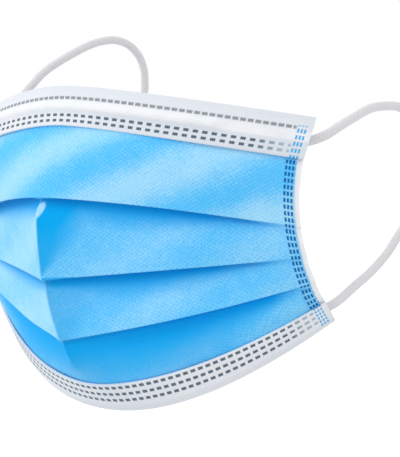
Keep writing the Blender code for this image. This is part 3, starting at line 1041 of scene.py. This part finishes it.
# Painted shade on the top binding: below the wire, more so to the right, and a little above it.
def topPaintedShade(along, down):
    belowWire = down.step(0.0074, 0.0086) * (0.40 + along.step(0.0, 0.03) * 0.45)
    return belowWire + (1 - down.step(0.0044, 0.0056)) * 0.35


# Painted shade on the bottom one: darker at the left and lighter to the right.
def bottomPaintedShade(along, down):
    return 0.75 - along.step(0.0, 0.045) * 0.4


def bandMaterial(name, rows, hem, paintedShade):
    shader = Shader(name, Roughness=0.85, **{"Sheen Weight": 0.15})
    vector = shader.mapVector("band")
    along, down = shader.uv("band")
    fromSide, sideDown = shader.uv("side")
    fibres = shader.noise(shader.scaled(vector, (0.45, 1.0, 1.0)), whiteBand["fibre"], 4.0, 0.7)
    clouds = shader.noise(vector, whiteBand["cloud"], 3.0)
    tone = (fibres * 0.6 + clouds * 0.4).step(0.3, 0.7)
    colour = shader.mix(tone, rgb(*whiteBand["shade"]), rgb(*whiteBand["colour"]))
    # the pressed edge is greyer: partly its own pressed look, partly painted shade where it curves
    # back
    pressed = 1 - down.step(hem, hem + whiteBand["hemFade"])
    colour = shader.mix(pressed * (1.1 - tone * 0.4), colour, rgb(*whiteBand["hem"]))
    # painted shade on parts of the band
    colour = shader.mix(paintedShade(along, down), colour, rgb(*whiteBand["low"]))
    squares = (along / whiteBand["square"]).math("FRACT")
    inward = fromSide.step(*whiteBand["weldsFrom"])
    cut = (1 - 0.4 * abs(squares - 0.5).step(0.34, 0.46)) * inward
    welds = 0.0
    for *sizes, paleness in rows:
        if paleness > 0:
            pale = dashRow(along, down, *sizes, whiteBand["paleSoft"]) * paleness * 0.85
            colour = shader.mix(pale * cut, colour, rgb(*whiteBand["paleWeld"]))
        if paleness < 1:
            welds = welds + dashRow(along, down, *sizes) * (1 - paleness)
    welds = welds * cut
    fromEnd = fromSide.step(*whiteBand["endFade"])
    weldColour = shader.mix(fromEnd, rgb(*whiteBand["endWeld"]), rgb(*whiteBand["weld"]))
    colour = shader.mix(welds, colour, weldColour)
    sides = sideDashes(fromSide - sideWelds["fromEdge"], sideDown)
    sides = sides * down.step(hem - whiteBand["intoHem"], hem)
    colour = shader.mix(sides, colour, rgb(*whiteBand["sideWeld"]))
    height = fibres * 0.9 - welds * 1.2 - sides * 0.8
    return shader.finish(colour, height, whiteBand["relief"])


topLook = bandMaterial("top_band", topWelds, topBand["hem"], topPaintedShade)
bottomLook = bandMaterial("bottom_band", bottomWelds, bottomBand["hem"], bottomPaintedShade)
topBinding = addBinding("topBinding", topBand, "topEdge", "topHem", True, topLook)
bottomBinding = addBinding(
    "bottomBinding", bottomBand, "bottomEdge", "bottomHem", False, bottomLook
)
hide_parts("top_binding")
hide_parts("bottom_binding")
print("bindings made")


# The nose wire lies hidden in its channel, in a thin plastic coat with fine lines along it.
wireCoat = {
    "colour": (0.82, 0.82, 0.82),
    "shade": (0.72, 0.73, 0.74),
    "lines": (40.0, 900.0, 900.0),
    "relief": 0.00003,
}


def wireMaterial():
    shader = Shader("coated_wire", Roughness=0.45)
    drawn = shader.noise(shader.scaled(shader.place(), wireCoat["lines"]), 1.0)
    colour = shader.mix(drawn, rgb(*wireCoat["shade"]), rgb(*wireCoat["colour"]))
    return shader.finish(colour, drawn, wireCoat["relief"])


wireObject = frame["nodes"]["nose_wire"]
wireObject.data.materials.clear()
wireObject.data.materials.append(wireMaterial())
print("nose wire coated")


# Floor and light: a wide pale floor, a soft sun above in front, and a white sky that looks
# brighter than the light it gives.
studio = {
    "floorDrop": 0.0006,  # below the lowest point of the mask
    "floorSize": 30.0,
    "floorColours": (0.38, 0.42),  # the greys of its grain
    "floorGrain": 60.0,
    "floorGlow": 0.75,
    "skyAbove": 1.05,
    "skyLevel": 0.97,
    "skyBelow": 0.84,
    "sun": 0.7,
    "sunFrom": (-0.6, -0.8, 0.5),
    "sunAngle": 35.0,
}


def grey(level):
    return rgb(level, level, level)


low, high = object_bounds()
half, floorHeight = studio["floorSize"] / 2, low[2] - studio["floorDrop"]
floorCorners = [(x * half, y * half, floorHeight) for x, y in ((-1, -1), (1, -1), (1, 1), (-1, 1))]
floorMesh = bpy.data.meshes.new("floor")
floorMesh.from_pydata(floorCorners, [], [(0, 1, 2, 3)])
glow = {"Emission Color": grey(1.0), "Emission Strength": studio["floorGlow"]}
floorShader = Shader("paper", Roughness=0.95, **glow)
grain = floorShader.noise(floorShader.place(), studio["floorGrain"])
floorColour = floorShader.mix(grain, *(grey(level) for level in studio["floorColours"]))
floorMesh.materials.append(floorShader.finish(floorColour))
floor = bpy.data.objects.new("floor", floorMesh)
bpy.context.collection.objects.link(floor)
floor.visible_diffuse = False  # the floor throws no light up under the chin

# The sky runs from one grey below over another at eye level to a third above. Seen by the
# camera it is plain white.
world = bpy.data.worlds.new("studio")
bpy.context.scene.world = world
world.use_nodes = True
sky = Nodes(world.node_tree)
generated = sky.node("ShaderNodeTexCoord").outputs["Generated"]
upwards = sky.node("ShaderNodeSeparateXYZ", None, generated).outputs["Z"]
height = sky.node("ShaderNodeMapRange", None, upwards, -1.0).outputs[0]
ramp = sky.node("ShaderNodeValToRGB", None, height)
ramp.color_ramp.elements[0].color = grey(studio["skyBelow"])
ramp.color_ramp.elements[1].color = grey(studio["skyAbove"])
ramp.color_ramp.elements.new(0.5).color = grey(studio["skyLevel"])
givenLight = world.node_tree.nodes["Background"].outputs[0]
sky.put(world.node_tree.nodes["Background"].inputs[0], ramp.outputs[0])
plainWhite = sky.node("ShaderNodeBackground", None, grey(1.0), 1.0).outputs[0]
cameraRay = sky.node("ShaderNodeLightPath").outputs["Is Camera Ray"]
both = sky.node("ShaderNodeMixShader", None, cameraRay, givenLight, plainWhite).outputs[0]
sky.put(world.node_tree.nodes["World Output"].inputs[0], both)

sunData = bpy.data.lights.new("sun", "SUN")
sunData.energy = studio["sun"]
sunData.angle = np.radians(studio["sunAngle"])
sun = bpy.data.objects.new("sun", sunData)
bpy.context.collection.objects.link(sun)
sun.rotation_euler = Vector(studio["sunFrom"]).to_track_quat("Z", "Y").to_euler()
bpy.context.scene.view_settings.view_transform = "Standard"
print("studio lit")
